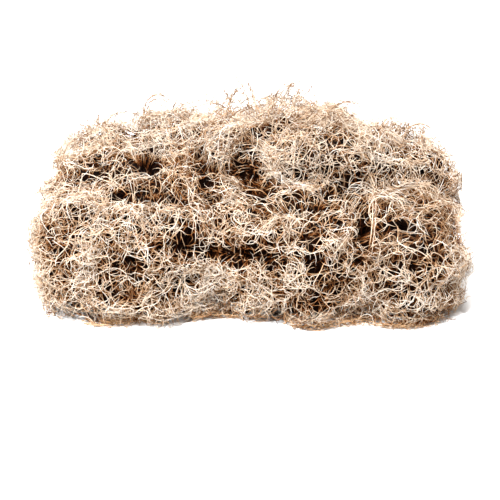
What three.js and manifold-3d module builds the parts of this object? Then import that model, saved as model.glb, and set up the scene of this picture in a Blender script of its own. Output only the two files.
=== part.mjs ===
// A bunch of dried Spanish moss (Tillandsia usneoides), lying in a loose heap on a flat surface.
// It is nine tufts, each a separate handful of tangled strands, pressed side by side. A tuft is one solid:
// a crumpled core, arches that leave the core and come back to it, wisps and plumes that end free in the
// air, and curled leaves that branch off them. Lengths are millimetres and angles degrees.
// X is the bunch's width, +Y its far side and +Z is up. The origin is on the surface, under its middle.

import * as THREE from "three";
import { mergeVertices } from "three/addons/utils/BufferGeometryUtils.js";
import Module from "manifold-3d";

const wasm = await Module();
wasm.setup();

// ---- Driving dimensions ----
const BUNCH_WIDTH = 462; // across X, between the tips of the outermost strands
const BUNCH_DEPTH = 322; // across Y
const CROWN_TIP = 216; // height of the tallest plume above the surface

const BOXINESS = 2.8; // exponent of a core's outline: 2 is an ellipsoid, more is boxier
const BUMP_SHARE = 0.08; // height of the broad bumps on a core, as a share of its size
const CRUMPLE = 7; // depth of the small dents all over a core
const TUFT_GAP = 0.4; // clear space between two neighbouring tufts
const ROOT_DEPTH = 10; // how deep a strand's ends are sunk below its core's outline
const STRAND_RADIUS = 3;
const LEAF_RADIUS = 2.4;
const LEAF_LENGTH = 34;
const SPACING = 0.5; // least clear space between strands that pass each other

// Each tuft: the middle of its core, half the core's size along X, Y and Z, its turn about Z, its colour and
// how many arches and wisps it carries. comb is the way its arches run, if they all run one way, and plumes
// are the tips of the long strands that give the bunch its outermost points.
const TUFTS = [
  {
    name: "tuft_front_left", at: [-122, -84, 46], half: [94, 66, 62], turn: 4, color: 0xe0cdb2,
    arches: 20, wisps: 2, plumes: [[-BUNCH_WIDTH / 2, -66, 58], [-118, -BUNCH_DEPTH / 2, 44]],
  },
  {
    name: "tuft_middle_left", at: [-144, -6, 50], half: [70, 62, 67], turn: -6, color: 0xd3bfa4,
    arches: 12, wisps: 2,
  },
  {
    name: "tuft_rear_left", at: [-108, 80, 51], half: [95, 69, 67], turn: 8, color: 0xcab69c,
    arches: 17, wisps: 4,
  },
  {
    name: "tuft_neck", at: [-58, -32, 54], half: [46, 80, 62], turn: 12, color: 0xc4ae92,
    arches: 9, wisps: 1, comb: [0.3, -1],
  },
  {
    name: "tuft_crown", at: [44, 40, 64], half: [118, 84, 85], turn: -14, color: 0xdac6ab,
    arches: 35, wisps: 9, plumes: [[-8, 34, CROWN_TIP], [66, 12, 0.9 * CROWN_TIP]],
  },
  {
    name: "tuft_front_centre", at: [40, -82, 46], half: [94, 68, 63], turn: -10, color: 0xdecab0,
    arches: 20, wisps: 2,
  },
  {
    name: "tuft_front_right", at: [154, -80, 40], half: [62, 70, 56], turn: -8, color: 0xcfb99c,
    arches: 14, wisps: 2, plumes: [[BUNCH_WIDTH / 2, -72, 48]],
  },
  {
    name: "tuft_rear_right", at: [149, 60, 52], half: [74, 88, 60], turn: 6, color: 0xcdb69a,
    arches: 17, wisps: 3,
  },
  {
    name: "tuft_rear_centre", at: [12, 104, 46], half: [108, 46, 78], turn: 2, color: 0xc7b297,
    arches: 13, wisps: 2, plumes: [[24, BUNCH_DEPTH / 2, 60]],
  },
];

const UP = new THREE.Vector3(0, 0, 1);

// ---- Seeded random draws ----
function randomSource(seed) {
  let state = seed;
  return () => {
    state = (state + 0x6d2b79f5) | 0;
    let mixed = Math.imul(state ^ (state >>> 15), state | 1);
    mixed ^= mixed + Math.imul(mixed ^ (mixed >>> 7), mixed | 61);
    return ((mixed ^ (mixed >>> 14)) >>> 0) / 4294967296;
  };
}

const between = (random, low, high) => low + (high - low) * random();

const anyDirection = (random) => {
  const height = between(random, -1, 1);
  const angle = between(random, 0, 2 * Math.PI);
  return new THREE.Vector3().setFromCylindricalCoords(Math.sqrt(1 - height * height), angle, height);
};

// ---- The outline of a core ----
// A turned superellipsoid with broad bumps: three waves that run over it in different directions.
const BUMP_WAVES = [new THREE.Vector3(5, 3, 0), new THREE.Vector3(0, 4, -5), new THREE.Vector3(4, 0, 6)];

function tuftShape(tuft) {
  const centre = new THREE.Vector3(...tuft.at);
  const half = new THREE.Vector3(...tuft.half);
  const turn = THREE.MathUtils.degToRad(tuft.turn);
  const axes = ["x", "y", "z"];
  // How far the outline is from the centre in a direction.
  const reach = (direction) => {
    const d = direction.clone().applyAxisAngle(UP, -turn);
    const powers = axes.map((axis) => Math.abs(d[axis] / half[axis]) ** BOXINESS);
    const bump = BUMP_WAVES.reduce((sum, wave, k) => sum + Math.sin(wave.dot(d) + tuft.at[k]), 0);
    return (powers[0] + powers[1] + powers[2]) ** (-1 / BOXINESS) * (1 + (BUMP_SHARE * bump) / 3);
  };
  const normal = (point) => {
    const q = point.clone().sub(centre).applyAxisAngle(UP, -turn);
    for (const axis of axes)
      q[axis] = (Math.sign(q[axis]) * Math.abs(q[axis] / half[axis]) ** (BOXINESS - 1)) / half[axis];
    return q.applyAxisAngle(UP, turn).normalize();
  };
  // The point of the outline on the way from the centre to the given point, raised by height.
  const onSurface = (point, height = 0) => {
    const direction = point.clone().sub(centre).normalize();
    return centre.clone().addScaledVector(direction, reach(direction) + height);
  };
  const heightOf = (point) => point.distanceTo(centre) - onSurface(point).distanceTo(centre);
  return { centre, reach, normal, onSurface, heightOf };
}

// ---- Walls: planes that a strand stays behind. A point with normal . p > offset is past the wall. ----
const wall = (x, y, z, offset) => ({ normal: new THREE.Vector3(x, y, z), offset });

const FLOOR = wall(0, 0, -1, 0);
const OUTER_LIMITS = [
  wall(1, 0, 0, BUNCH_WIDTH / 2), wall(-1, 0, 0, BUNCH_WIDTH / 2),
  wall(0, 1, 0, BUNCH_DEPTH / 2), wall(0, -1, 0, BUNCH_DEPTH / 2),
  wall(0, 0, 1, CROWN_TIP),
];

// The floor, and a wall towards each other tuft, which parts the way between the two in proportion to
// their size.
function wallsAround(index, shapes) {
  const own = shapes[index];
  const walls = shapes.filter((other) => other !== own).map((other) => {
    const toward = other.centre.clone().sub(own.centre);
    const apart = toward.length();
    toward.normalize();
    const mine = own.reach(toward);
    const theirs = other.reach(toward.clone().negate());
    const offset = toward.dot(own.centre) + (apart * mine) / (mine + theirs) - TUFT_GAP / 2;
    return { normal: toward, offset };
  });
  return [FLOOR, ...walls];
}

const inside = (point, walls, margin) => walls.every((w) => w.normal.dot(point) <= w.offset - margin);

// Moves a point that is past a wall back to its near side, so that a strand bends along it. Where walls meet,
// going back from one can lead past another, so it is done a few times.
const BEND_PASSES = 3;

function bendClear(point, walls, margin) {
  for (let pass = 0; pass < BEND_PASSES; pass += 1)
    for (const w of walls) {
      const over = w.normal.dot(point) - w.offset + margin;
      if (over > 0) point.addScaledVector(w.normal, -over);
    }
  return point;
}

// ---- Solids ----
const MERGE_DISTANCE = 1e-4;
const MEND_TOLERANCE = 0.02; // slivers left by a join are smoothed away within this distance

const barePositions = (geometry) => {
  const bare = geometry.index ? geometry.toNonIndexed() : geometry.clone();
  bare.deleteAttribute("normal");
  bare.deleteAttribute("uv");
  return mergeVertices(bare, MERGE_DISTANCE);
};

function toSolid(geometry) {
  const merged = barePositions(geometry);
  return new wasm.Manifold(
    new wasm.Mesh({
      numProp: 3,
      vertProperties: merged.attributes.position.array,
      triVerts: new Uint32Array(merged.index.array),
    }),
  );
}

function toGeometry(solid) {
  const mesh = solid.getMesh();
  const positions = new Float32Array(mesh.numVert * 3);
  for (let v = 0; v < mesh.numVert; v += 1)
    positions.set(mesh.vertProperties.subarray(v * mesh.numProp, v * mesh.numProp + 3), v * 3);
  const geometry = new THREE.BufferGeometry();
  geometry.setAttribute("position", new THREE.BufferAttribute(positions, 3));
  geometry.setIndex(new THREE.BufferAttribute(mesh.triVerts, 1));
  geometry.computeVertexNormals();
  return geometry;
}

// The core: a coarse ball pulled out to the tuft's outline, dented all over, and cut flat where it is pressed
// against the floor and its neighbours.
const CORE_DETAIL = 4;

function coreSolid(shape, walls, random) {
  const ball = barePositions(new THREE.IcosahedronGeometry(1, CORE_DETAIL));
  const position = ball.attributes.position;
  const direction = new THREE.Vector3();
  for (let v = 0; v < position.count; v += 1) {
    direction.fromBufferAttribute(position, v).normalize();
    const p = shape.centre.clone().addScaledVector(direction, shape.reach(direction) - CRUMPLE * random());
    position.setXYZ(v, p.x, p.y, p.z);
  }
  return walls.reduce(
    (core, w) => core.trimByPlane(w.normal.clone().negate().toArray(), -w.offset),
    toSolid(ball),
  );
}

// A three-sided strand along a path, with its radius at each point given. A last radius of 0 ends it in a
// point.
const SIDES = 3;

function strandSolid(path, radii) {
  const frames = new THREE.CatmullRomCurve3(path).computeFrenetFrames(path.length - 1);
  const pointed = radii.at(-1) === 0;
  const rings = pointed ? path.length - 1 : path.length;
  const corners = [];
  const faces = [0, 2, 1];
  for (let k = 0; k < rings; k += 1)
    for (let s = 0; s < SIDES; s += 1) {
      const angle = (2 * Math.PI * s) / SIDES;
      const corner = path[k].clone();
      corner.addScaledVector(frames.normals[k], radii[k] * Math.cos(angle));
      corner.addScaledVector(frames.binormals[k], radii[k] * Math.sin(angle));
      corners.push(corner);
    }
  for (let k = 0; k < rings - 1; k += 1)
    for (let s = 0; s < SIDES; s += 1) {
      const a = k * SIDES + s;
      const b = k * SIDES + ((s + 1) % SIDES);
      faces.push(a, b, a + SIDES, b, b + SIDES, a + SIDES);
    }
  const last = (rings - 1) * SIDES;
  if (pointed) {
    corners.push(path.at(-1).clone());
    for (let s = 0; s < SIDES; s += 1) faces.push(last + s, last + ((s + 1) % SIDES), corners.length - 1);
  } else faces.push(last, last + 1, last + 2);
  const geometry = new THREE.BufferGeometry().setFromPoints(corners);
  geometry.setIndex(faces);
  return toSolid(geometry);
}

// ---- The strands of one tuft ----
const ARCH = { steps: 6, shortest: 105, longest: 155, lowest: 8, highest: 21, curl: 3.6 };
const WISP = { steps: 5, shortest: 60, longest: 95, lowest: 12, highest: 30, curl: 2.4 };
const WAVE = 2; // how far an arch or a wisp also swings to and fro along its way, in radians
const TAPER = [1, 1, 0.95, 0.85, 0.65, 0]; // radius along a wisp or a plume, as a share of the strand's
const COMB_STRAY = 0.3; // how far combed strands stray from their comb, as a share of it
const PLUME_BOW = 0.8; // how far a plume bows out on its way, as a share of its length
const LEAF_TAPER = [1, 0.8, 0];
const LEAF_AT = 3; // the point of a strand that its leaf branches off
// How much a leaf heads sideways and outwards for each part that it heads along its strand, and how much that
// changes with each of its segments.
const LEAF_AIM = { side: [0.5, 1.1], out: [0, 0.7] };
const LEAF_CURL = { side: [-0.3, 0.5], out: [-0.3, 0.15] };
const STRAND_TRIES = 400;
const STRAND_CHOICES = 8;
const LEAF_TRIES = 5;

const archRise = (t, top) => (top + ROOT_DEPTH) * Math.sin(Math.PI * t) ** 0.55 - ROOT_DEPTH;
const wispRise = (t, top) => (top + ROOT_DEPTH) * t ** 0.8 - ROOT_DEPTH;

const segmentsOf = (path) => path.slice(1).map((p, k) => new THREE.Line3(path[k], p));

class Strands {
  constructor(tuft, shape, walls, random) {
    Object.assign(this, { tuft, shape, walls, random });
    this.placed = []; // the segments of every strand so far, with their radius
    this.solids = [];
  }

  keep(path, radii) {
    segmentsOf(path).forEach((line, k) => this.placed.push({ line, radius: radii[k] }));
    this.solids.push(strandSolid(path, radii));
  }

  // True if the path stays within the bunch and off every strand so far. The first skip segments of a leaf
  // are left out, because it starts in the strand that carries it.
  fits(path, radius, skip = 0) {
    return (
      path.every((p) => inside(p, OUTER_LIMITS, radius)) &&
      segmentsOf(path).slice(skip).every((segment) =>
        this.placed.every(({ line, radius: other }) =>
          segment.distanceSqToLine3(line) > (radius + other + SPACING) ** 2,
        ),
      )
    );
  }

  // A random point of the core that isn't pressed against a neighbour or the floor.
  somewhere() {
    for (;;) {
      const p = this.shape.onSurface(this.shape.centre.clone().add(anyDirection(this.random)));
      if (inside(p, this.walls, ROOT_DEPTH)) return p;
    }
  }

  // The way in which a strand sets off from a point of the core.
  headingAt(point) {
    const { comb } = this.tuft;
    const wanted = anyDirection(this.random);
    if (comb) wanted.multiplyScalar(COMB_STRAY).add(new THREE.Vector3(...comb, 0));
    return wanted.projectOnPlane(this.shape.normal(point)).normalize();
  }

  // A walk over the core, turning as it goes, at the height that rise gives.
  walk({ steps, shortest, longest, lowest, highest, curl }, rise) {
    const { random, shape } = this;
    const point = this.somewhere();
    const ahead = this.headingAt(point);
    const step = between(random, shortest, longest) / steps;
    const top = between(random, lowest, highest);
    const turn = between(random, -curl, curl);
    const wave = between(random, -WAVE, WAVE);
    const path = [];
    for (let k = 0; k <= steps; k += 1) {
      const t = k / steps;
      const raised = shape.onSurface(point, rise(t, top));
      path.push(bendClear(raised, this.walls, STRAND_RADIUS + TUFT_GAP / 2));
      const out = shape.normal(point);
      ahead.projectOnPlane(out).normalize();
      ahead.applyAxisAngle(out, (turn + wave * Math.sin(2 * Math.PI * t)) / steps);
      point.copy(shape.onSurface(point.addScaledVector(ahead, step)));
    }
    return path;
  }

  // How far a path lies from the strands so far, summed over its points.
  bareness(path) {
    const nearest = new THREE.Vector3();
    const clearance = (p) =>
      Math.min(...this.placed.map(({ line }) => line.closestPointToPoint(p, true, nearest).distanceTo(p)));
    return path.reduce((sum, p) => sum + clearance(p), 0);
  }

  // Of the first few walks that fit, the one over the barest stretch of the core is kept.
  grow(kind, rise, radii) {
    const choices = [];
    for (let tries = 0; tries < STRAND_TRIES && choices.length < STRAND_CHOICES; tries += 1) {
      const path = this.walk(kind, rise);
      if (this.fits(path, STRAND_RADIUS)) choices.push({ path, bareness: this.bareness(path) });
    }
    if (choices.length === 0) return;
    const { path } = choices.reduce((best, choice) => (choice.bareness > best.bareness ? choice : best));
    this.keep(path, radii);
    this.growLeaf(path);
  }

  // A plume bows out from a root beside the nearest point of the core to its tip.
  growPlume(tip) {
    const { random, shape } = this;
    const nearest = shape.onSurface(tip);
    const out = shape.normal(nearest);
    const beside = anyDirection(random).projectOnPlane(out).setLength(tip.distanceTo(nearest));
    const root = shape.onSurface(nearest.add(beside), -ROOT_DEPTH);
    const bow = root.clone().addScaledVector(out, PLUME_BOW * root.distanceTo(tip));
    const path = new THREE.QuadraticBezierCurve3(root, bow, tip).getPoints(TAPER.length - 1);
    path.slice(0, -1).forEach((p) => bendClear(p, [...this.walls, ...OUTER_LIMITS], STRAND_RADIUS));
    this.keep(path, TAPER.map((share) => share * STRAND_RADIUS));
  }

  // A leaf leaves its strand sideways and forwards, and curls over.
  leafFrom(path) {
    const { random, shape } = this;
    const start = path[LEAF_AT];
    const along = path[LEAF_AT + 1].clone().sub(start).normalize();
    const out = shape.normal(start);
    const side = new THREE.Vector3().crossVectors(along, out).multiplyScalar(random() < 0.5 ? 1 : -1);
    const aim = along.clone();
    aim.addScaledVector(side, between(random, ...LEAF_AIM.side));
    aim.addScaledVector(out, between(random, ...LEAF_AIM.out));
    const bend = side.multiplyScalar(between(random, ...LEAF_CURL.side));
    bend.addScaledVector(out, between(random, ...LEAF_CURL.out));
    const leaf = [start.clone()];
    for (let s = 1; s < LEAF_TAPER.length; s += 1) {
      aim.add(bend).normalize();
      const next = leaf.at(-1).clone().addScaledVector(aim, LEAF_LENGTH / (LEAF_TAPER.length - 1));
      leaf.push(bendClear(next, this.walls, LEAF_RADIUS + TUFT_GAP / 2));
    }
    return leaf;
  }

  growLeaf(path) {
    for (let tries = 0; tries < LEAF_TRIES; tries += 1) {
      const leaf = this.leafFrom(path);
      const aboveCore = leaf.slice(1).every((p) => this.shape.heightOf(p) > LEAF_RADIUS);
      if (!aboveCore || !this.fits(leaf, LEAF_RADIUS, 1)) continue;
      this.keep(leaf, LEAF_TAPER.map((share) => share * LEAF_RADIUS));
      return;
    }
  }
}

// A tuft as one solid: its core and strands joined, with any sealed hollow filled and any loose scrap
// dropped.
const FIRST_SEED = 7001;

function tuftSolid(tuft, index, shapes) {
  const random = randomSource(FIRST_SEED + index);
  const walls = wallsAround(index, shapes);
  const strands = new Strands(tuft, shapes[index], walls, random);
  for (const tip of tuft.plumes ?? []) strands.growPlume(new THREE.Vector3(...tip));
  for (let n = 0; n < tuft.wisps; n += 1)
    strands.grow(WISP, wispRise, TAPER.map((share) => share * STRAND_RADIUS));
  for (let n = 0; n < tuft.arches; n += 1)
    strands.grow(ARCH, archRise, Array(ARCH.steps + 1).fill(STRAND_RADIUS));
  const joined = wasm.Manifold.union([coreSolid(shapes[index], walls, random), ...strands.solids]);
  const bodies = joined.decompose().filter((body) => body.volume() > 0);
  bodies.sort((a, b) => b.volume() - a.volume());
  return bodies[0].simplify(MEND_TOLERANCE);
}

// ---- The bunch ----
const bunch = new THREE.Group();
const shapes = TUFTS.map(tuftShape);
TUFTS.forEach((tuft, index) => {
  const moss = new THREE.MeshStandardMaterial({ color: tuft.color, roughness: 0.9, metalness: 0 });
  const mesh = new THREE.Mesh(toGeometry(tuftSolid(tuft, index, shapes)), moss);
  mesh.name = tuft.name;
  bunch.add(mesh);
});

export default bunch;
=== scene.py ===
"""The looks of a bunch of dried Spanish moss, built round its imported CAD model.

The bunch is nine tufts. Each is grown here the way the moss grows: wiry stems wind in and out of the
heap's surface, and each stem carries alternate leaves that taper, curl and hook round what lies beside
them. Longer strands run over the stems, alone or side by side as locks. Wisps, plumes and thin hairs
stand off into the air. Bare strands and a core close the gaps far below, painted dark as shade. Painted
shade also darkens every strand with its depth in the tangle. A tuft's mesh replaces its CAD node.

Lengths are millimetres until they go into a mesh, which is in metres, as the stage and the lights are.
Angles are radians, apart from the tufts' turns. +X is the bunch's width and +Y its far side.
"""

import math

import bpy
import numpy as np
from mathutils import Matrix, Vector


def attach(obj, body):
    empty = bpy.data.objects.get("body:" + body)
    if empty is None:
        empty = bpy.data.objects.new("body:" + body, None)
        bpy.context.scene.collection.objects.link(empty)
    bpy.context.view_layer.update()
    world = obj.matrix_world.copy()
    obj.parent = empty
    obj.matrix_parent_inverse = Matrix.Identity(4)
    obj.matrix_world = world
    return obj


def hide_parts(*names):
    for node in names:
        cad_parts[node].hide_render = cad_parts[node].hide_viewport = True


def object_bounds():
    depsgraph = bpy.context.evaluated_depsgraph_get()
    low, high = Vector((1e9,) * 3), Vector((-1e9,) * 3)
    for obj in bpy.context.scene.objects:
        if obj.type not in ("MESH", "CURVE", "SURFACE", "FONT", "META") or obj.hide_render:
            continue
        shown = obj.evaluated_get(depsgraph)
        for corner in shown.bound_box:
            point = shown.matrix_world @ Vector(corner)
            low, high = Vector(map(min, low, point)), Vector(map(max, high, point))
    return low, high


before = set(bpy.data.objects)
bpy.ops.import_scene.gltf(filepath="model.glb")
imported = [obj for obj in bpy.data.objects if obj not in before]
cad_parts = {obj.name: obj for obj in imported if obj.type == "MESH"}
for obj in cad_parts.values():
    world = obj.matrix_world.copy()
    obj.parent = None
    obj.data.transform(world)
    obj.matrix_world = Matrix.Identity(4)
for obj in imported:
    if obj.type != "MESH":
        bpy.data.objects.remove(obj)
cad_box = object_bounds()

MM = 0.001
SEED = 7001
SHORTEST = 1e-9  # what is shorter than this has no direction
TINY = 1e-6  # keeps a divisor off 0, and a place on a curve off its very end

# ---- The tufts' forms, as in CAD ----
BOXINESS = 2.8  # from 2, a ball, towards a box
BUMP_SHARE = 0.08
BUMP_WAVES = np.array([[5, 3, 0], [0, 4, -5], [4, 0, 6]])
# Name, middle, half size along X, Y and Z, turn about Z in degrees, how many wisps it has beside the others,
# how high they stand, which share of its strands is brown, and its painted glow: by how many millimetres its
# painted shade is lifted, as painted light for light that gets deeper into it than elsewhere.
TUFTS = [
    ("tuft_front_left", (-122, -84, 46), (94, 66, 62), 4, 0.8, 12, 0.22, 0.5),
    ("tuft_middle_left", (-144, -6, 50), (70, 62, 67), -6, 0.8, 16, 0.26, 0),
    ("tuft_rear_left", (-108, 80, 51), (95, 69, 67), 8, 1.6, 30, 0.12, 4),
    ("tuft_neck", (-58, -32, 54), (46, 80, 62), 12, 1.0, 20, 0.5, -3),
    ("tuft_crown", (44, 40, 64), (118, 84, 85), -14, 2.2, 44, 0.18, 4.5),
    ("tuft_front_centre", (40, -82, 46), (94, 68, 63), -10, 0.8, 12, 0.26, 0),
    ("tuft_front_right", (154, -80, 40), (62, 70, 56), -8, 0.6, 12, 0.4, 0),
    ("tuft_rear_right", (149, 60, 52), (74, 88, 60), 6, 0.6, 20, 0.34, 1),
    ("tuft_rear_centre", (12, 104, 46), (108, 46, 78), 2, 1.8, 24, 0.2, 3),
]
# Long tips that stand clear of the heap, as in CAD: the tuft that each grows from and the tip's place.
PLUMES = [
    ("tuft_front_left", (-231, -66, 58)),
    ("tuft_front_left", (-118, -161, 44)),
    ("tuft_crown", (-8, 34, 216)),
    ("tuft_crown", (66, 12, 194)),
    ("tuft_front_right", (231, -72, 48)),
    ("tuft_rear_centre", (24, 161, 60)),
]
# What follows is placed by where the picture shows it, in its pixels, on the heap's surface.
# Locks: the tuft that each grows from, its route, how far its strands spread to the sides and their number.
LOCKS = {
    "neck_upper": ("tuft_neck", [(164, 104), (175, 134), (180, 164), (188, 190)], 6, 12),
    "neck_lower": ("tuft_neck", [(178, 158), (188, 188), (200, 214), (212, 244)], 6, 18),
    "left_of_neck": ("tuft_neck", [(180, 152), (170, 176), (160, 198)], 3, 8),
    "upright_on_the_right": ("tuft_front_right", [(372, 172), (375, 195), (374, 222), (371, 256)], 1.2, 10),
    "arc_beside_it": ("tuft_front_centre", [(352, 206), (352, 222), (343, 240), (326, 254)], 3, 12),
    "under_the_crown_1": (
        "tuft_crown", [(236, 162), (250, 157), (268, 163), (284, 180), (298, 198)], 2.5, 5,
    ),
    "under_the_crown_2": ("tuft_crown", [(262, 150), (280, 172), (300, 188), (322, 192)], 2.5, 5),
    "crown_arch": ("tuft_crown", [(294, 170), (294, 146), (300, 136), (308, 142), (306, 166)], 1, 3),
    "crown_right": ("tuft_crown", [(338, 104), (358, 120), (372, 136), (388, 156)], 7, 22),
    "crown_left": ("tuft_crown", [(262, 104), (236, 122), (214, 148), (204, 172)], 10, 20),
    "rear_left_top": ("tuft_rear_left", [(140, 98), (160, 98), (178, 112), (184, 132)], 6, 18),
    "front_left_top": ("tuft_front_left", [(44, 214), (62, 202), (92, 198), (120, 206)], 10, 6),
    "front_centre_top": ("tuft_front_centre", [(210, 204), (240, 196), (270, 204), (300, 226)], 11, 12),
}
# Tips of the loose strands that stand up against the sky.
FUZZ = {
    "tuft_crown": [
        (214, 101), (223, 94), (231, 88), (245, 84), (262, 90), (271, 90), (289, 84), (305, 86),
        (322, 97), (338, 101), (352, 102),
    ],
    "tuft_rear_left": [
        (68, 141), (76, 134), (82, 124), (90, 128), (96, 120), (118, 115), (142, 102), (154, 96),
        (168, 96), (178, 100), (190, 104), (204, 102),
    ],
    "tuft_rear_right": [(384, 120), (394, 121), (404, 122), (412, 128), (426, 134)],
    "tuft_middle_left": [(48, 156), (60, 150)],
    "tuft_front_right": [(466, 172)],
}
# Long, thin strands that stand up against the sky: the tuft that each grows from, its route, spread and
# number.
HAIRS = {
    "loop_on_the_crown": (
        "tuft_crown", [(252, 116), (247, 98), (243, 86), (236, 78), (237, 68), (241, 66)], 1, 2,
    ),
    "left_of_the_loop": ("tuft_crown", [(226, 122), (227, 106), (233, 92), (240, 84), (246, 92)], 3, 5),
    "right_of_the_loop": ("tuft_crown", [(262, 116), (254, 102), (250, 88), (244, 80)], 3, 5),
    "arc_on_the_crown": (
        "tuft_crown", [(276, 118), (284, 98), (294, 82), (305, 82), (314, 92), (324, 104)], 2, 5,
    ),
    "under_the_arc": ("tuft_crown", [(270, 114), (278, 98), (287, 87), (298, 88), (304, 104)], 3, 5),
    "crown_middle": ("tuft_crown", [(268, 118), (268, 104), (274, 92), (282, 86)], 3, 4),
    "crown_spray": ("tuft_crown", [(292, 112), (296, 98), (304, 90), (312, 96)], 3, 4),
    "crown_to_the_left": ("tuft_crown", [(238, 118), (224, 106), (212, 100), (202, 104)], 3, 5),
    "crown_to_the_right": ("tuft_crown", [(324, 114), (338, 103), (352, 101), (366, 108)], 3, 6),
    "arc_on_the_left": ("tuft_rear_left", [(142, 112), (148, 99), (160, 94), (170, 99), (180, 112)], 3, 7),
    "left_sweep": ("tuft_rear_left", [(172, 116), (182, 104), (196, 101), (208, 100)], 2, 4),
    "left_shoulder": ("tuft_rear_left", [(100, 128), (112, 117), (126, 114), (138, 118)], 3, 5),
    "right_curl": ("tuft_rear_right", [(380, 130), (388, 119), (398, 117), (406, 126)], 2, 5),
    "right_shoulder": ("tuft_rear_right", [(404, 130), (416, 125), (428, 128), (434, 136)], 2, 4),
}
# Gaps between and in the handfuls, where strands dip and painted shade darkens them: from where to where,
# radius and depth. A swell's depth is below 0.
GAPS = {
    "behind_the_left_1": ((76, 169), (100, 166), 6, 9),
    "behind_the_left_2": ((106, 164), (130, 159), 8, 16),
    "behind_the_left_3": ((126, 160), (150, 168), 6, 11),
    "beside_the_neck_1": ((150, 150), (156, 162), 13, 26),
    "beside_the_neck_2": ((155, 172), (157, 180), 7, 12),
    "middle_left": ((118, 192), (152, 195), 11, 24),
    "middle_left_faint": ((80, 188), (110, 190), 6, 7),
    "under_the_neck": ((173, 188), (186, 208), 7, 12),
    "right_of_the_neck": ((193, 159), (207, 180), 9, 18),
    "left_of_the_crown": ((212, 158), (217, 166), 8, 11),
    "under_the_crown": ((243, 170), (266, 184), 15, 18),
    "crown_slit": ((254, 152), (256, 162), 8, 13),
    "centre_dusk": ((262, 178), (290, 186), 9, 13),
    "under_the_crown_right": ((303, 172), (309, 180), 8, 10),
    "centre_slit": ((296, 203), (313, 198), 9, 25),
    "right_of_the_centre": ((334, 192), (351, 199), 12, 30),
    "seam_on_the_right": ((356, 194), (362, 236), 11, 27),
    "seam_foot": ((357, 246), (358, 254), 9, 13),
    "right_rear_1": ((377, 180), (383, 170), 6, 7),
    "right_rear_2": ((394, 166), (396, 170), 6, 8),
    "right_1": ((384, 212), (388, 216), 6, 5),
    "right_2": ((405, 210), (415, 216), 7, 3),
    "right_3": ((428, 240), (440, 250), 6, 6),
    "foot_of_the_neck": ((189, 236), (199, 250), 9, 15),
    "foot_of_the_centre_1": ((206, 252), (240, 257), 9, 16),
    "foot_of_the_centre_2": ((248, 256), (284, 259), 7, 14),
    "foot_of_the_right": ((305, 238), (316, 252), 9, 13),
    "front_centre_1": ((253, 235), (255, 240), 7, 9),
    "front_centre_2": ((275, 238), (284, 242), 6, 8),
    "front_left_1": ((62, 247), (72, 257), 6, 8),
    "front_left_2": ((128, 258), (142, 260), 7, 8),
    "front_left_3": ((92, 233), (97, 238), 6, 7),
    "crown_1": ((320, 130), (323, 146), 7, 5),
    "crown_2": ((237, 136), (240, 140), 7, 4),
    "swell_middle_left": ((128, 212), (176, 212), 14, -5),
    "swell_front_left": ((58, 206), (108, 203), 14, -6),
    "swell_rear_left_top": ((152, 112), (182, 110), 16, -7),
    "swell_left_shoulder": ((68, 146), (98, 128), 24, -12),
}
# Slopes that run a little lower than the tufts' outlines, without a gap's painted shade: the same numbers.
SLOPES = {
    "crown_right": ((312, 102), (345, 108), 26, 7),
    "crown_left": ((208, 108), (262, 103), 24, 6),
    "rear_right": ((386, 121), (418, 127), 24, 15),
}
# Pixels down that a gap in a level place moves, because the strands on its near side hide as much.
GAP_SHIFT = 6
SURFACE = 6  # how high above the tufts' outlines the surface is that one sees
BLEND = 6  # how softly one tuft's surface runs into the next one's
GAP_STEEPNESS = 3  # of a gap's sides: 2 is a soft bell
CORE_SUBDIVISIONS = 4  # of the ball that it is made of
CORE_DEPTH = 12  # how far below the outline the core is
CORE_FLOOR = 3  # how high above the floor it ends
CORE_WAVES = np.array([[21, 13, 17], [-11, 23, 9]])  # two waves that cross on it
CORE_LUMPS, CORE_GRAIN = 3, 1  # how high they are, and how uneven each place is
# The core's tones, and its painted shades, near black for the shade far down in the tangle.
CORE_TONES, CORE_PAINTED_SHADES = (0.02, 0.25), (0.0, 0.06)

# ---- The surface's small mounds ----
MOUND_COUNT = 9  # waves that cross the surface, each its own way
MOUND_LENGTHS = (20, 52)  # from crest to crest
MOUND_HEIGHT = 1.7  # of each wave

# ---- The camera ----
CAMERA_PLACE = np.array((2.5, -1367.4, 710.0))
CAMERA_PITCH = math.radians(27.1)  # below the horizon
CAMERA_LENS = 99.4  # its focal length
CAMERA_SENSOR = 36  # its width
PICTURE = 500  # pixels across and down
HEAP_AWAY = (1100, 1900)  # between which distances from the camera the heap lies
MISS_MARGIN = 1  # how much further from the heap than at its nearest a view that misses it is taken to end


# ---- Strands ----
# For each kind: its steps and their length, radius, strands for each square millimetre, heights over the
# heap's outline, how far it waves up and down and turns to the sides, tones, and on every how many steps its
# leaves grow and how much longer than a stem's they are.
WAVE_STEPS = 3  # over about how many steps waves and turns change, unless the kind has its own number
# own_way: how much a stem goes its own way, against 1 for the way of its neighbours; bend: how much it turns
# to one side all along; past_heights: how far its waves may take it below and above its heights.
STEM = dict(
    steps=18, step=4.4, radius=(0.28, 0.46), per_area=1 / 74, heights=(-2, 11), wave=4, turn=0.4,
    own_way=(0.2, 1.8), bend=0.15, past_heights=(3, 5), every=2, reach=1.0,
)
# Bare strands far down, without leaves.
DEEP = dict(
    steps=10, step=8.0, radius=(0.7, 1.1), per_area=1 / 290, heights=(-10, -3), wave=2, turn=0.5,
    tones=(0.1, 0.5),
)
DEEP_CEILING = 0  # how high over the heap's outline they may stand
# kinks: how sharp a long strand's are, against 1 for a stem's.
LONG = dict(
    steps=20, step=5.0, radius=(0.42, 0.62), per_area=1 / 1600, heights=(3, 13), wave=3, turn=0.4,
    wave_steps=4, kinks=0.5, tones=(0.4, 0.8), every=5, reach=1.2,
)
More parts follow.
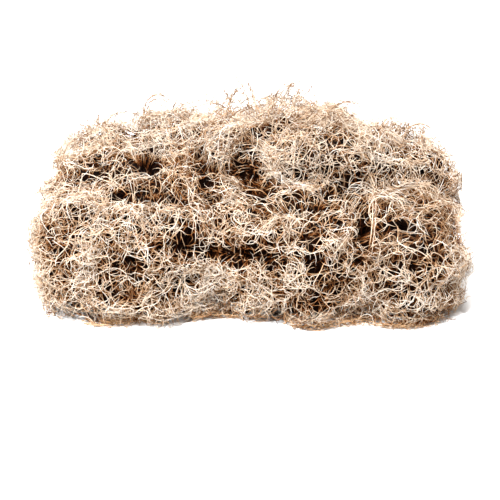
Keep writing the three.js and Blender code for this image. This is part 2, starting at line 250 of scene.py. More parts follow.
# foot: the height that a wisp leaves from; few_high: above 1, most wisps stay low; on_sides: how much of its
# full rise a wisp has on a side; late: above 1, it rises towards its end.
WISP = dict(
    steps=16, step=3.0, radius=(0.34, 0.54), per_area=1 / 1000, foot=3, least_rise=5, few_high=1.5,
    on_sides=0.2, late=1.2, wave=2.5, turn=0.5, bend=0.12, tones=(0.1, 0.5), every=3, reach=1.3,
)
# begin and end: the shares of its route where a strand does so; sway and ripple: slow and quick turns to the
# sides, of which sway is a share of the lock's spread; sunk: how far the ends go in, and end_power how near
# to the ends; on_mounds and in_dips: how much of the mounds and dips it follows.
LOCK = dict(
    steps=22, radius=(0.32, 0.6), heights=(3, 11), begin=(-0.1, 0.35), end=(0.65, 1.1),
    sway=0.5, sway_steps=5, ripple=1.0, ripple_steps=2, wave=1.5, sunk=10, end_power=6,
    on_mounds=0.5, in_dips=0.25, every=5, reach=1.1,
)
# root_share: how much of its spread a hair has at its root; curl: a share of its spread; sunk: how deep its
# root lies.
HAIR = dict(
    steps=14, radius=(0.4, 0.56), end=(0.75, 1), root_share=0.3, curl=0.45, sunk=8,
    tones=(0.12, 0.3), every=6, reach=1.3,
)
# strands: how many a plume has; spread: how far apart their tips are; least: a tip's height over the heap
# counts as at least this. As shares of that height: aside, how far from under its tip a strand has its root;
# shorter, how much shorter than the first strand the others are. sunk: how deep a root lies; bow: how far a
# strand bows out, as a share of its length.
PLUME = dict(
    steps=18, radius=(0.36, 0.54), strands=6, spread=9, least=8, aside=(0.4, 0.9), shorter=(0.1, 0.6),
    sunk=6, bow=0.4, wave=3, tones=(0.05, 0.4), every=5, reach=1.6,
)
# of_strand: the greatest share of its strand's radius that a leaf has; side: the angle, middle and spread,
# that it is turned round its strand, from one side or the other; lean: its angle to the strand; twist: how
# far the axis that it curls about strays; curl: how unevenly it curls; hook: how much it curls at each step,
# middle and spread.
LEAF = dict(
    steps=4, step=(3.2, 5.4), radius=(0.24, 0.40), of_strand=0.95, side=(0.3, 0.7), lean=(0.4, 1.4),
    twist=0.6, curl=0.35, hook=(0.25, 0.45), tone_change=0.2,
)
FLOOR_LIFT = (1, 6)  # how high above the floor strands that reach it lie
FLOOR_GAP = 1.2  # how high above it everything ends
BROWN_TONES, PALE_TONES = (0, 0.25), (0.35, 0.9)
KINK_SHARE, KINK_TURN = 0.2, 0.9  # at which share of its steps a strand kinks, and how sharply
# The way that strands near a place tend to run comes from three waves over the heap.
FLOW_SIZE = 30  # the length that their numbers are for
FLOW_WAVES = np.array([[0, 1.3, 0.7], [1.1, 0, -0.9], [1, 1, 0]])
FLOW_STARTS = np.array([0, 2, 0])
# Strands start at random places on the outline. For its top, near side, far side and underside: how dense
# they are there, against 1 elsewhere, and past which Z or Y of its way out a place lies there.
START_TRIES = 60000
LEAST_FACING = 0.2  # a place counts as facing away from the tuft's centre by at least this share
LOWEST_START = -10
TOP_SHARE, TOP_FROM = 0.65, 0.7
NEAR_SIDE_SHARE, NEAR_SIDE_FROM = 1.3, -0.4
FAR_SIDE_SHARE, FAR_SIDE_FROM, FAR_SIDE_FALL = 0.5, 0.3, 1.2  # at the far side it falls off gradually
UNDERSIDE_SHARE, UNDERSIDE_FROM = 0.05, -0.6
LEAF_CEILING = 16  # how high over the heap's outline stems, long strands, locks and leaves may stand
WISP_CEILING = 90  # the same for wisps, hairs, plumes and their leaves
CEILING_GIVE, GIVE_RUN = 4, 8  # how far over it one gets all the same, and how softly it is held there
LEAF_SHAPE = np.array([1, 1, 0.86, 0.6, 0])  # a leaf's width along it
END_SHARE = 0.6  # how thick a strand still is at its ends
DEEPEST_LEAF = 0  # a leaf that lies deeper than this along its whole length is left out: nothing shows it
# Where a gap is deeper than this, this share of the leaves that stand this high over its bottom is left out.
BRIDGE = dict(depth=4, height=13, share=0.75)
STRAY = (-6, 16)  # how far past its tuft's walls a strand goes before it turns back
TURN_BACK = 14  # how much further on it is turned back fully
PROUD = 6  # how far past the CAD box's sides a strand may stand
HIGHEST = cad_box[1][2] / MM - 3  # no place of the heap that a pixel shows is higher

rng = np.random.default_rng(SEED)


def unit(v):
    """Each v at length 1."""
    return v / np.maximum(np.linalg.norm(v, axis=-1, keepdims=True), SHORTEST)


def turned(v, axis, angle):
    """Each v turned about its unit axis by its angle."""
    c, s = np.cos(angle)[..., None], np.sin(angle)[..., None]
    return v * c + np.cross(axis, v) * s + axis * (axis * v).sum(-1, keepdims=True) * (1 - c)


def across(v, normal):
    """The part of each v that lies across its normal, at length 1."""
    return unit(v - normal * (v * normal).sum(-1, keepdims=True))


class Tuft:
    """One handful of the heap: its form, and how its strands grow."""

    def __init__(self, name, at, half, turn, wispy, loft, brown, painted_glow):
        self.name, self.wispy, self.loft, self.brown, self.painted_glow = name, wispy, loft, brown, painted_glow
        self.centre, self.half = np.array(at, float), np.array(half, float)
        c, s = math.cos(math.radians(turn)), math.sin(math.radians(turn))
        self.own = np.array([[c, s, 0], [-s, c, 0], [0, 0, 1]])
        self.walls = []

    def reach(self, direction):
        """How far the outline is from the centre in each direction."""
        d = direction @ self.own.T
        powers = (np.abs(d / self.half) ** BOXINESS).sum(-1)
        bump = np.sin(d @ BUMP_WAVES.T + self.centre).sum(-1)
        return powers ** (-1 / BOXINESS) * (1 + BUMP_SHARE * bump / len(BUMP_WAVES))

    def normal(self, points):
        """The way out at each point on the outline."""
        q = (points - self.centre) @ self.own.T
        q = np.sign(q) * np.abs(q / self.half) ** (BOXINESS - 1) / self.half
        return unit(q @ self.own)

    def height(self, points):
        """How far each point is outside the outline."""
        away = points - self.centre
        return np.linalg.norm(away, axis=-1) - self.reach(unit(away))


def add_walls():
    """Gives each tuft the planes that part it from the others, as (normal, offset) pairs."""
    for own in tufts:
        for other in tufts:
            if other is own:
                continue
            toward = unit(other.centre - own.centre)
            apart = np.linalg.norm(other.centre - own.centre)
            mine, theirs = own.reach(toward), other.reach(-toward)
            own.walls.append((toward, toward @ own.centre + apart * mine / (mine + theirs)))


# The planes near the box's four sides where strands turn back.
BOX_SIDES = [
    (sign * np.eye(3)[axis], cad_box[1][axis] / MM - STRAY[1])
    for axis in (0, 1)
    for sign in (-1, 1)
]


def past_walls(points, walls):
    """How far each point is past the wall that it is furthest past."""
    return np.max([points @ normal - offset for normal, offset in walls], axis=0)


def heap_level(points):
    """How far each point is outside the whole heap, whose seams are filled softly, and the way out there."""
    heights = np.stack([tuft.height(points) for tuft in tufts])
    least = heights.min(0)
    weights = np.exp((least - heights) / BLEND)
    out = unit(sum(w[..., None] * tuft.normal(points) for w, tuft in zip(weights, tufts)))
    return least - BLEND * np.log(weights.sum(0)), out


mound_ways = unit(rng.normal(size=(MOUND_COUNT, 3)))
mound_waves = mound_ways * (2 * math.pi / rng.uniform(*MOUND_LENGTHS, (MOUND_COUNT, 1)))
mound_starts = rng.uniform(0, 2 * math.pi, MOUND_COUNT)


def mounds(points):
    """How much the small mounds raise the surface at each point."""
    return MOUND_HEIGHT * np.sin(points @ mound_waves.T + mound_starts).sum(-1)


def near_line(points, start, end, radius):
    """1 on the line between two places, falling steeply to 0 about a radius away from it."""
    start, run = np.array(start), np.subtract(end, start)
    share = np.clip((points - start) @ run / (run @ run), 0, 1)
    away = np.linalg.norm(points - start - share[..., None] * run, axis=-1)
    return np.exp(-(away / radius) ** GAP_STEEPNESS)


def lowered(points, lines):
    """How deep the gaps along the lines are at each point, less the swells there."""
    deep, swell = np.zeros(points.shape[:-1]), np.zeros(points.shape[:-1])
    for start, end, radius, depth in lines:
        change = depth * near_line(points, start, end, radius)
        deep, swell = np.maximum(deep, change), np.minimum(swell, change)
    return deep + swell


def dips(points):
    """How much lower than the tufts' outlines the heap is at each point."""
    return lowered(points, gaps) + lowered(points, slopes)


def seen_at(pixel):
    """The place on the heap that a pixel of the picture shows, and the way out there.

    For a pixel beside the heap it is about where the view comes nearest to the heap.
    """
    ahead = np.array([0, math.cos(CAMERA_PITCH), -math.sin(CAMERA_PITCH)])
    up = np.array([0, math.sin(CAMERA_PITCH), math.cos(CAMERA_PITCH)])
    right = np.array([1, 0, 0])
    off = (np.array(pixel) - PICTURE / 2) * CAMERA_SENSOR / CAMERA_LENS / PICTURE
    way = unit(ahead + off[0] * right - off[1] * up)
    points = CAMERA_PLACE + way * np.arange(*HEAP_AWAY)[:, None]
    points = points[points[:, 2] < HIGHEST]
    level, out = heap_level(points)
    first = np.argmax(level < max(SURFACE, level.min() + MISS_MARGIN))
    return points[first], out[first]


def gap_end(pixel):
    """The place on the tufts' outlines where a gap that is seen at the pixel ends."""
    _, out = seen_at(pixel)
    place, out = seen_at((pixel[0], pixel[1] + GAP_SHIFT * max(out[2], 0)))
    return place - out * SURFACE


def placed(lines):
    """The lines with places on the heap for their pixels."""
    return [(gap_end(start), gap_end(end), radius, depth) for start, end, radius, depth in lines.values()]


def starts_on(tuft, per_area):
    """Points spread over the part of the tuft's surface that is free of its neighbours and the floor."""
    direction = unit(rng.normal(size=(START_TRIES, 3)))
    away = tuft.reach(direction)
    points = tuft.centre + direction * away[:, None]
    out = tuft.normal(points)
    area = 4 * math.pi / START_TRIES * away ** 2 / np.maximum((direction * out).sum(-1), LEAST_FACING)
    area *= past_walls(points, tuft.walls) < 0
    area *= points[:, 2] > LOWEST_START
    area *= np.where(out[:, 2] < UNDERSIDE_FROM, UNDERSIDE_SHARE, 1)
    area *= np.where(out[:, 2] > TOP_FROM, TOP_SHARE, 1)
    area *= np.clip(1 - FAR_SIDE_FALL * (out[:, 1] - FAR_SIDE_FROM), FAR_SIDE_SHARE, 1)
    area *= np.where(out[:, 1] < NEAR_SIDE_FROM, NEAR_SIDE_SHARE, 1)
    count = int(area.sum() * per_area)
    picked = rng.choice(START_TRIES, count, p=area / area.sum())
    return points[picked], out[picked]


def eased(share):
    """A share from 0 to 1 with a soft start and a soft end."""
    return share * share * (3 - 2 * share)


def smooth_noise(strands, steps, every, size):
    """For each strand, values that change over about every steps."""
    reached = steps // every + 3  # knots, where the first step lies between the first two of them
    knots = rng.normal(size=(strands, reached)) * size
    at = np.arange(steps) / every + rng.uniform(0, 1, (strands, 1))
    low = at.astype(int)
    share = eased(at - low)
    return np.take_along_axis(knots, low, -1) * (1 - share) + np.take_along_axis(knots, low + 1, -1) * share


def flow(points, out):
    """The way that strands near a point tend to run: it swirls slowly over the heap."""
    return across(np.sin(points / FLOW_SIZE @ FLOW_WAVES.T + FLOW_STARTS), out)


def turn_back(tuft, at, ahead, stray):
    """Turns strands back towards their tuft once they are more than stray past a wall."""
    for normal, offset in tuft.walls + BOX_SIDES:
        past = np.clip((at @ normal - offset - stray) / TURN_BACK, 0, 1)
        ahead = ahead - past[:, None] * normal
    return ahead


def wind(tuft, start, ahead, heights, turns, step):
    """Winds strands over the heap from their starts: their points and the way out at each."""
    points, outs = [], []
    at = start
    lift = rng.uniform(*FLOOR_LIFT, len(start))
    stray = rng.uniform(*STRAY, len(start))
    for k in range(heights.shape[1]):
        level, out = heap_level(at)
        at = at + out * (heights[:, k] + mounds(at) - dips(at) - level)[:, None]
        at[:, 2] = np.maximum(at[:, 2], lift)
        points.append(at)
        outs.append(out)
        ahead = turned(across(turn_back(tuft, at, ahead, stray), out), out, turns[:, k])
        at = at + ahead * step
    return np.stack(points, 1), np.stack(outs, 1)


def kinks(shape):
    """Sharp turns at a few of the steps."""
    return rng.normal(0, KINK_TURN, shape) * (rng.random(shape) < KINK_SHARE)


def mixed_tones(n, brown):
    """Pale strands, with a share of brown ones among them."""
    return np.where(rng.random(n) < brown, rng.uniform(*BROWN_TONES, n), rng.uniform(*PALE_TONES, n))


def grow_stems(tuft):
    """Wiry stems that wind in and out of the heap's surface."""
    start, out = starts_on(tuft, STEM["per_area"])
    n, m = len(start), STEM["steps"] + 1
    own_way = across(rng.normal(size=(n, 3)), out) * rng.uniform(*STEM["own_way"], (n, 1))
    ahead = unit(flow(start, out) + own_way)
    turns = smooth_noise(n, m, WAVE_STEPS, STEM["turn"]) + rng.normal(0, STEM["bend"], (n, 1))
    turns = turns + kinks((n, m))
    (low, high), (below, above) = STEM["heights"], STEM["past_heights"]
    heights = rng.uniform(low, high, (n, 1)) + smooth_noise(n, m, WAVE_STEPS, STEM["wave"])
    heights = np.clip(heights, low - below, high + above)
    points, outs = wind(tuft, start, ahead, heights, turns, STEM["step"])
    return points, outs, rng.uniform(*STEM["radius"], n), mixed_tones(n, tuft.brown)


def grow_deep(tuft):
    """Bare, thick strands far down, which close the view between the core and the stems; painted shade makes
    them dark.
    """
    start, out = starts_on(tuft, DEEP["per_area"])
    n, m = len(start), DEEP["steps"] + 1
    ahead = unit(flow(start, out) + across(rng.normal(size=(n, 3)), out))
    turns = smooth_noise(n, m, WAVE_STEPS, DEEP["turn"])
    heights = rng.uniform(*DEEP["heights"], (n, 1)) + smooth_noise(n, m, WAVE_STEPS, DEEP["wave"])
    points, outs = wind(tuft, start, ahead, heights, turns, DEEP["step"])
    return points, outs, rng.uniform(*DEEP["radius"], n), rng.uniform(*DEEP["tones"], n)


def grow_long(tuft):
    """A few thick, pale strands that run far in slack curves over the others."""
    start, out = starts_on(tuft, LONG["per_area"])
    n, m = len(start), LONG["steps"] + 1
    ahead = unit(flow(start, out) + across(rng.normal(size=(n, 3)), out))
    turns = smooth_noise(n, m, LONG["wave_steps"], LONG["turn"]) + kinks((n, m)) * LONG["kinks"]
    heights = rng.uniform(*LONG["heights"], (n, 1)) + smooth_noise(n, m, LONG["wave_steps"], LONG["wave"])
    points, outs = wind(tuft, start, ahead, heights, turns, LONG["step"])
    return points, outs, rng.uniform(*LONG["radius"], n), rng.uniform(*LONG["tones"], n)


def curve_through(knots, share):
    """Points of a smooth curve (Catmull-Rom) through the knots, at each share of its way."""
    last = len(knots) - 1
    wide = np.concatenate([[2 * knots[0] - knots[1]], knots, [2 * knots[last] - knots[last - 1]]])
    at = np.clip(share, 0, 1) * (last - TINY)
    k = at.astype(int)
    t = (at - k)[..., None]
    a, b, c, d = wide[k], wide[k + 1], wide[k + 2], wide[k + 3]
    bend = a - 2.5 * b + 2 * c - d / 2
    return b + t * (c - a) / 2 + t ** 2 * bend + t ** 3 * (1.5 * (b - c) + (d - a) / 2)


def grow_lock(brown, route, spread, n):
    """Long strands that run side by side along a route over the heap."""
    m = LOCK["steps"] + 1
    knots = np.stack([seen_at(pixel)[0] for pixel in route])
    begin, end = rng.uniform(*LOCK["begin"], (n, 1)), rng.uniform(*LOCK["end"], (n, 1))
    path = curve_through(knots, begin + (end - begin) * np.linspace(0, 1, m))
    _, out = heap_level(path)
    along = unit(np.gradient(path, axis=1) + TINY)
    side = np.cross(out, along)
    sway = rng.normal(0, spread, (n, 1)) + smooth_noise(n, m, LOCK["sway_steps"], LOCK["sway"] * spread)
    sway = sway + smooth_noise(n, m, LOCK["ripple_steps"], LOCK["ripple"])
    path = path + side * sway[..., None]
    level, out = heap_level(path)
    sunk = LOCK["sunk"] * (np.abs(np.linspace(-1, 1, m)) ** LOCK["end_power"])
    height = rng.uniform(*LOCK["heights"], (n, 1)) + smooth_noise(n, m, WAVE_STEPS, LOCK["wave"]) - sunk
    height = height + mounds(path) * LOCK["on_mounds"] - dips(path) * LOCK["in_dips"]
    path = path + out * (height - level)[..., None]
    return path, out, rng.uniform(*LOCK["radius"], n), mixed_tones(n, brown)


def grow_hair(route, spread, n):
    """Thin strands along a route that leaves the heap: they are rooted in it and end in the air."""
    m = HAIR["steps"] + 1
    knots = np.stack([seen_at(pixel)[0] for pixel in route])
    end = rng.uniform(*HAIR["end"], (n, 1))
    path = curve_through(knots, end * np.linspace(0, 1, m))
    grows = np.linspace(HAIR["root_share"], 1, m)[:, None]
    aside = rng.normal(0, spread, (n, 1, 3)) * grows
    curls = np.stack([smooth_noise(n, m, WAVE_STEPS, HAIR["curl"] * spread) for _ in range(3)], -1)
    path = path + aside + curls * grows
    _, out = heap_level(path)
    path[:, :2] -= out[:, :2] * HAIR["sunk"]
    return path, out, rng.uniform(*HAIR["radius"], n), rng.uniform(*HAIR["tones"], n)


def grow_leaves(points, outs, radius, tone, kind):
    """Alternate leaves along strands of a kind, each leaning off its strand and curling its own way."""
    nodes = np.arange(1, points.shape[1] - 1, kind["every"])
    shape = (len(points), len(nodes))
    along = unit(points[:, nodes + 1] - points[:, nodes - 1])
    out = across(outs[:, nodes], along)
    side = np.cross(out, along)
    around = math.pi * (np.arange(len(nodes)) % 2) + rng.normal(*LEAF["side"], shape)
    lean = rng.uniform(*LEAF["lean"], shape)[..., None]
    off = side * np.cos(around)[..., None] + out * np.sin(around)[..., None]
    ahead = (along * np.cos(lean) + off * np.sin(lean)).reshape(-1, 3)
    axis = rng.normal(0, LEAF["twist"], (*shape, 3)) + out * rng.choice([-1.0, 1.0], shape)[..., None]
    axis = unit(axis).reshape(-1, 3)
    n = len(axis)
    curl = rng.normal(0, LEAF["curl"], (n, LEAF["steps"])) + np.abs(rng.normal(*LEAF["hook"], (n, 1)))
    step = rng.uniform(*LEAF["step"], n)[:, None] * kind["reach"]
    at = points[:, nodes].reshape(-1, 3)
    path = [at]
    for k in range(LEAF["steps"]):
        ahead = turned(ahead, axis, curl[:, k])
        at = at + ahead * step
        path.append(at)
    widest = LEAF["of_strand"] * np.repeat(radius, len(nodes))
    width = np.minimum(rng.uniform(*LEAF["radius"], n), widest)
    tones = np.clip(np.repeat(tone, len(nodes)) + rng.normal(0, LEAF["tone_change"], n), 0, 1)
    leaves = np.stack(path, 1)
    level = heap_level(leaves)[0] - mounds(leaves) + dips(leaves)
    bridging = ((dips(leaves) > BRIDGE["depth"]) & (level > BRIDGE["height"])).any(1)
    bridging &= rng.random(n) < BRIDGE["share"]
    shown = (level.max(1) > DEEPEST_LEAF) & ~bridging
    return leaves[shown], width[shown], tones[shown]


def grow_wisps(tuft):
    """Strands that rise from the heap's surface towards their ends."""
    start, out = starts_on(tuft, WISP["per_area"] * tuft.wispy)
    n, m = len(start), WISP["steps"] + 1
    ahead = across(rng.normal(size=(n, 3)), out)
    turns = smooth_noise(n, m, WAVE_STEPS, WISP["turn"]) + rng.normal(0, WISP["bend"], (n, 1))
    turns = turns + kinks((n, m))
    steep = np.clip(out[:, 2:] + WISP["on_sides"], WISP["on_sides"], 1)
    top = WISP["least_rise"] + tuft.loft * rng.random((n, 1)) ** WISP["few_high"] * steep
    heights = WISP["foot"] + top * np.linspace(0, 1, m) ** WISP["late"]
    heights = heights + smooth_noise(n, m, WAVE_STEPS, WISP["wave"])
    points, outs = wind(tuft, start, ahead, heights, turns, WISP["step"])
    return points, outs, rng.uniform(*WISP["radius"], n), rng.uniform(*WISP["tones"], n)


def grow_plumes(tips):
    """Curly strands that bow out from the heap: the first of each plume to its tip, the others beside it."""
    tips = np.repeat(np.array(tips, float), PLUME["strands"], 0)
    n = len(tips)
    first = np.arange(n)[:, None] % PLUME["strands"] == 0
    level, out = heap_level(tips)
    level = np.maximum(level, PLUME["least"])[:, None]
    beside = across(rng.normal(size=(n, 3)), out)
    root = tips - out * level + beside * level * rng.uniform(*PLUME["aside"], (n, 1))
    level_there, out_there = heap_level(root)
    root -= out_there * (level_there + PLUME["sunk"])[:, None]
    short = out * level * rng.uniform(*PLUME["shorter"], (n, 1)) + rng.normal(0, PLUME["spread"], (n, 3))
    tips = tips - np.where(first, 0, short)
    bow = root + out * (PLUME["bow"] * np.linalg.norm(tips - root, axis=1))[:, None]
    t = np.linspace(0, 1, PLUME["steps"] + 1)[:, None]
    path = root[:, None] * (1 - t) ** 2 + bow[:, None] * 2 * t * (1 - t) + tips[:, None] * t ** 2
    sway = np.stack([smooth_noise(n, len(t), WAVE_STEPS, PLUME["wave"]) for _ in range(3)], -1)
    path = path + sway * np.sin(np.pi * t)
    outs = np.broadcast_to(out[:, None], path.shape)
    return path, outs, rng.uniform(*PLUME["radius"], n), rng.uniform(*PLUME["tones"], n)


def settle(paths, ceiling):
    """Keeps strands under the ceiling, off the floor and inside the bunch's box."""
    level, out = heap_level(paths)
    over = np.maximum(level - mounds(paths) - ceiling, 0)
    paths = paths - out * (over - CEILING_GIVE * np.tanh(over / GIVE_RUN))[..., None]
    low, high = (np.array(c) / MM for c in cad_box)
    low, high = low - [PROUD, PROUD, 0], high + [PROUD, PROUD, 0]
    low[2] = FLOOR_GAP
    return np.clip(paths, low, high)


def tube_mesh(paths, radii):
    """Three-sided strands that end in a point: vertices, quads, triangles, each vertex's ring and side."""
    n, m = paths.shape[:2]
    along = unit(np.gradient(paths, axis=1))
    side = unit(np.cross(along[:, 0], unit(rng.normal(size=(n, 3)))))
    rings = []
    for k in range(m - 1):
        side = across(side, along[:, k])
        other = np.cross(along[:, k], side)
        for s in range(3):
            a = 2 * math.pi * s / 3
            rings.append(paths[:, k] + (side * math.cos(a) + other * math.sin(a)) * radii[:, k, None])
    rings.append(paths[:, -1])
    verts = np.stack(rings, 1)
    size = verts.shape[1]
    ring = np.append(np.repeat(np.arange(m - 1), 3), m - 1)
    sides = np.append(np.tile(np.arange(3), m - 1), 1)
    faces = []
    for k in range(m - 2):
        for s in range(3):
            a, b = 3 * k + s, 3 * k + (s + 1) % 3
            faces.append((a, b, b + 3, a + 3))
    last = 3 * (m - 2)
    tip = size - 1
    ends = [(last, last + 1, tip), (last + 1, last + 2, tip), (last + 2, last, tip), (2, 1, 0)]
    base = (np.arange(n) * size)[:, None, None]
    quads = (np.array(faces)[None] + base).reshape(-1, 4)
    tris = (np.array(ends)[None] + base).reshape(-1, 3)
    return verts, quads, tris, ring, sides


def core_mesh(tuft):
    """A lumpy ball cut off at the tuft's walls and the floor."""
    bpy.ops.mesh.primitive_ico_sphere_add(subdivisions=CORE_SUBDIVISIONS, radius=1)
    ball = bpy.context.object
    direction = np.empty(len(ball.data.vertices) * 3)
    ball.data.vertices.foreach_get("co", direction)
    direction = unit(direction.reshape(-1, 3))
    tris = np.array([p.vertices[:] for p in ball.data.polygons])
    bpy.data.objects.remove(ball)
    rough = CORE_LUMPS * np.sin(direction @ CORE_WAVES.T).prod(-1)
    rough += rng.normal(0, CORE_GRAIN, len(direction))
    distance = tuft.reach(direction) - CORE_DEPTH + rough
    points = tuft.centre + direction * distance[:, None]
    distance += mounds(points) - dips(points)
    for normal, offset in [*tuft.walls, (np.array([0, 0, -1.0]), -CORE_FLOOR)]:
        toward = np.maximum(direction @ normal, TINY)
        distance = np.minimum(distance, (offset - normal @ tuft.centre) / toward)
    return tuft.centre + direction * distance[:, None], tris


# Painted shade, which the depth ramp turns into colour: the deeper a strand lies below the heap's outline,
# the darker it is painted, and darker still near the floor; a tuft's painted glow lifts it.
MOUND_SHADE = 0.5  # how far the mounds leave the shade alone: at 1 only the depth below them counts
DARKEST, BRIGHTEST = -1, 9.5  # the heights between which strands go from black to their own tone
DUSK_HEIGHT, DUSK_SHARE = 12, 0.7  # strands nearer to the floor than this are darker, down to this share


def painted_shade_at(points, painted_glow):
    """Painted shade: 0 far down in the tangle, 1 on its outside."""
    level = heap_level(points)[0] - MOUND_SHADE * mounds(points) + lowered(points, slopes) + painted_glow
    s = np.clip((level - DARKEST) / (BRIGHTEST - DARKEST), 0, 1)
    # painted shade near the floor
    floor = np.clip(points[..., 2] / DUSK_HEIGHT, DUSK_SHARE, 1)
    return eased(s) * floor


def add_piece(name, parts, material):
    """Joins parts, each (vertices, quads, triangles, tone, painted shade), into one mesh."""
    verts, faces, places, base = [], [], [], 0
    for points, quads, tris, tone, painted_shade in parts:
        verts.append(points.reshape(-1, 3) * MM)
        faces += (quads + base).tolist() + (tris + base).tolist()
        places.append(np.stack([tone.ravel(), painted_shade.ravel()], -1))
        base += len(verts[-1])
    mesh = bpy.data.meshes.new(name)
    mesh.from_pydata(np.concatenate(verts), [], faces)
    corner = np.empty(len(mesh.loops), int)
    mesh.loops.foreach_get("vertex_index", corner)
    uv = mesh.uv_layers.new(name="OFBake")
    uv.data.foreach_set("uv", np.concatenate(places)[corner].ravel())
    mesh.polygons.foreach_set("use_smooth", np.ones(len(mesh.polygons), bool))
    mesh.materials.append(material)
    piece = bpy.data.objects.new(name, mesh)
    bpy.context.scene.collection.objects.link(piece)
    return piece


# Each mesh's map holds tones along X and painted shades along Y, in the middle share of it. A strand's sides
# and rings are set a little apart there.
MAP_SHARE, MAP_START = 0.96, 0.01
SIDE_STEP, RING_STEP = 0.008, 0.012


def strand_part(paths, radii, tone, painted_glow):
    """A part for add_piece: strands along the paths, with their tones and their painted shades."""
    verts, quads, tris, ring, sides = tube_mesh(paths, radii)
    painted_shade = painted_shade_at(paths, painted_glow)[:, ring]
    u = MAP_START + MAP_SHARE * tone[:, None] + SIDE_STEP * sides
    v = MAP_START + MAP_SHARE * painted_shade + RING_STEP * (ring % 2) + RING_STEP / 2 * (sides == 1)
    return verts, quads, tris, u, v


def make_tuft(tuft, material):
    """One tuft's whole mesh: each kind of strand with its leaves, and the core."""
    locks = [lock for owner, *lock in LOCKS.values() if owner == tuft.name]
    hairs = [hair for owner, *hair in HAIRS.values() if owner == tuft.name]
    tips = [tip for owner, tip in PLUMES if owner == tuft.name]
    tips += [seen_at(pixel)[0] for pixel in FUZZ.get(tuft.name, [])]
    grown = [
        (grow_stems(tuft), STEM, LEAF_CEILING),
        (grow_long(tuft), LONG, LEAF_CEILING),
        (grow_wisps(tuft), WISP, WISP_CEILING),
    ]
    grown += [(grow_lock(tuft.brown, *lock), LOCK, LEAF_CEILING) for lock in locks]
    grown += [(grow_hair(*hair), HAIR, WISP_CEILING) for hair in hairs]
    if tips:
        grown.append((grow_plumes(tips), PLUME, WISP_CEILING))
    deep, _, deep_radius, deep_tone = grow_deep(tuft)
    even = np.ones(deep.shape[1])
    parts = [strand_part(settle(deep, DEEP_CEILING), deep_radius[:, None] * even, deep_tone, tuft.painted_glow)]
    for (points, outs, radius, tone), kind, ceiling in grown:
        shape = np.linspace(1, END_SHARE, points.shape[1])
        shape[0] = END_SHARE
        parts.append(strand_part(settle(points, ceiling), radius[:, None] * shape, tone, tuft.painted_glow))
        leaves, width, tones = grow_leaves(points, outs, radius, tone, kind)
        parts.append(strand_part(settle(leaves, ceiling), width[:, None] * LEAF_SHAPE, tones, tuft.painted_glow))
    core, core_tris = core_mesh(tuft)
    # The core is painted near black: painted shade for the deep tangle round it.
    tones, painted_shades = rng.uniform(*CORE_TONES, len(core)), rng.uniform(*CORE_PAINTED_SHADES, len(core))
    parts.append((core, np.empty((0, 4), int), core_tris, tones, painted_shades))
    piece = add_piece(tuft.name + "_moss", parts, material)
    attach(piece, "root")
    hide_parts(tuft.name)


# ---- Materials ----
# From 0 to 1 of a strand's tone.
TONES = [
    (0.00, (0.13, 0.065, 0.03)),
    (0.12, (0.28, 0.16, 0.085)),
    (0.30, (0.64, 0.48, 0.34)),
    (0.50, (0.84, 0.72, 0.59)),
    (0.72, (0.88, 0.80, 0.71)),
    (0.86, (0.92, 0.87, 0.81)),
    (0.93, (0.68, 0.60, 0.52)),
    (1.00, (0.72, 0.42, 0.20)),
]
# Painted shade, from 0 to 1 of the depth in the tangle: what the tone is multiplied by.
PAINTED_DEPTH_SHADE = [
    (0.00, (0.005, 0.002, 0.001)),
    (0.20, (0.075, 0.022, 0.005)),
    (0.45, (0.46, 0.20, 0.07)),
    (0.70, (0.90, 0.70, 0.50)),
    (1.00, (1.0, 1.0, 1.0)),
]
# Spots along a strand: a noise on the mesh's map, what its values multiply the colour by, and how strongly.
MOTTLE_SCALE, MOTTLE_DETAIL, MOTTLE_SHARE = 80, 3, 0.8
MOTTLES = [(0.38, (0.5, 0.42, 0.34)), (0.58, (1, 1, 1))]
# The grain that a strand's fine scales give it. Its depth is in metres.
GRAIN_SCALE, GRAIN_STRENGTH, GRAIN_DEPTH = 1400, 0.35, 0.0004
MOSS_SPECULAR, MOSS_ROUGHNESS = 0.04, 0.8


def node(tree, kind, **settings):
    """A new node of a kind, with its settings."""
    made = tree.nodes.new(kind)
    for key, value in settings.items():
        setattr(made, key, value)
    return made


def ramp(tree, stops, source):
    """The colour that the stops give for the source's value."""
    made = node(tree, "ShaderNodeValToRGB")
    elements = made.color_ramp.elements
    while len(elements) > 1:
        elements.remove(elements[-1])
    for k, (place, colour) in enumerate(stops):
        stop = elements[0] if k == 0 else elements.new(place)
        stop.position = place
        stop.color = (*colour, 1)
    tree.links.new(source, made.inputs["Fac"])
    return made.outputs["Color"]


def multiply(tree, a, b, share=1.0):
    """The colour a times b, or a share of the way there."""
    made = node(tree, "ShaderNodeMix", data_type="RGBA", blend_type="MULTIPLY")
    made.inputs["Factor"].default_value = share
    tree.links.new(a, made.inputs["A"])
    tree.links.new(b, made.inputs["B"])
    return made.outputs["Result"]


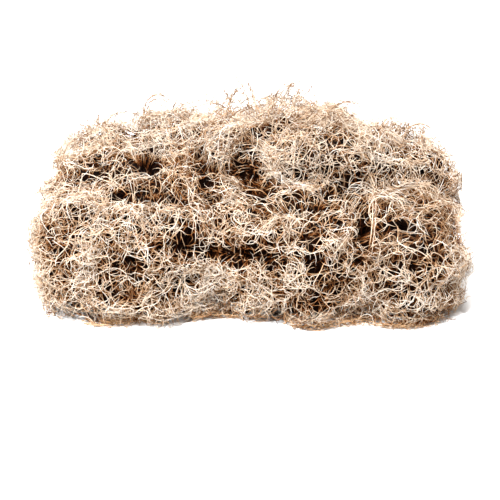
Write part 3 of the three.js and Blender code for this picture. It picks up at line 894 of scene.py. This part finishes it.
def moss_material():
    """Dry moss: each strand's own tone, with painted shade that makes it darker and browner with depth,
    mottled along its length.
    """
    material = bpy.data.materials.new("dried_moss")
    material.use_nodes = True
    tree = material.node_tree
    shader = tree.nodes["Principled BSDF"]
    place = node(tree, "ShaderNodeUVMap", uv_map="OFBake")
    split = node(tree, "ShaderNodeSeparateXYZ")
    tree.links.new(place.outputs["UV"], split.inputs["Vector"])
    tone = ramp(tree, TONES, split.outputs["X"])
    # painted shade, from the map's Y
    depth = ramp(tree, PAINTED_DEPTH_SHADE, split.outputs["Y"])
    mottle = node(tree, "ShaderNodeTexNoise")
    mottle.inputs["Scale"].default_value = MOTTLE_SCALE
    mottle.inputs["Detail"].default_value = MOTTLE_DETAIL
    tree.links.new(place.outputs["UV"], mottle.inputs["Vector"])
    spots = ramp(tree, MOTTLES, mottle.outputs["Fac"])
    colour = multiply(tree, multiply(tree, tone, depth), spots, MOTTLE_SHARE)
    tree.links.new(colour, shader.inputs["Base Color"])
    scales = node(tree, "ShaderNodeTexNoise")
    scales.inputs["Scale"].default_value = GRAIN_SCALE
    where = node(tree, "ShaderNodeTexCoord")
    tree.links.new(where.outputs["Object"], scales.inputs["Vector"])
    bump = node(tree, "ShaderNodeBump")
    bump.inputs["Strength"].default_value = GRAIN_STRENGTH
    bump.inputs["Distance"].default_value = GRAIN_DEPTH
    tree.links.new(scales.outputs["Fac"], bump.inputs["Height"])
    tree.links.new(bump.outputs["Normal"], shader.inputs["Normal"])
    shader.inputs["Specular IOR Level"].default_value = MOSS_SPECULAR
    shader.inputs["Roughness"].default_value = MOSS_ROUGHNESS
    return material


def plain_material(name, colour, roughness):
    """One colour all over."""
    material = bpy.data.materials.new(name)
    material.use_nodes = True
    shader = material.node_tree.nodes["Principled BSDF"]
    shader.inputs["Base Color"].default_value = (*colour, 1)
    shader.inputs["Roughness"].default_value = roughness
    return material


# ---- The bunch ----
tufts = [Tuft(*row) for row in TUFTS]
add_walls()
gaps, slopes = placed(GAPS), placed(SLOPES)
moss = moss_material()
for number, tuft in enumerate(tufts):
    # Its own random numbers, so that a change to one tuft leaves the others as they are.
    rng = np.random.default_rng(SEED + number)
    make_tuft(tuft, moss)

# ---- The stage, in metres ----
FLOOR_SIZE = 12
FLOOR_COLOUR, FLOOR_ROUGHNESS = (0.9, 0.9, 0.9), 0.9
# Each light's place, diameter and power in watts. All aim at the bunch's middle.
LIGHTS = {
    "key": ((-0.7, -1.2, 1.8), 0.3, 126),
    "fill": ((1.3, -1.6, 1.2), 1.6, 10),
    "rim": ((0.2, 1.7, 1.7), 1.2, 130),
}
AIM = (0, 0, 0.1)
WORLD_COLOUR, WORLD_STRENGTH = (1, 0.92, 0.82, 1), 0.2

bpy.ops.mesh.primitive_plane_add(size=FLOOR_SIZE, location=(0, 0, 0))
floor = bpy.context.object
floor.name = "floor"
floor.data.materials.append(plain_material("floor_white", FLOOR_COLOUR, FLOOR_ROUGHNESS))


def area_light(name, place, size, power):
    """A round, soft light that shines at the bunch."""
    light = bpy.data.lights.new(name, "AREA")
    light.shape = "DISK"
    light.size = size
    light.energy = power
    lamp = bpy.data.objects.new(name, light)
    bpy.context.scene.collection.objects.link(lamp)
    lamp.location = place
    away = np.array(place) - np.array(AIM)
    lamp.rotation_euler = (math.acos(away[2] / np.linalg.norm(away)), 0, math.atan2(away[0], -away[1]))


for name, settings in LIGHTS.items():
    area_light(name, *settings)

world = bpy.data.worlds.new("studio")
world.use_nodes = True
world.node_tree.nodes["Background"].inputs["Color"].default_value = WORLD_COLOUR
world.node_tree.nodes["Background"].inputs["Strength"].default_value = WORLD_STRENGTH
bpy.context.scene.world = world
bpy.context.scene.view_settings.view_transform = "Standard"

# ---- The camera's object ----
lens = bpy.data.cameras.new("camera")
lens.lens = CAMERA_LENS
lens.sensor_width = CAMERA_SENSOR
camera = bpy.data.objects.new("camera", lens)
bpy.context.scene.collection.objects.link(camera)
camera.location = tuple(c * MM for c in CAMERA_PLACE)
camera.rotation_euler = (math.pi / 2 - CAMERA_PITCH, 0, 0)
bpy.context.scene.camera = camera
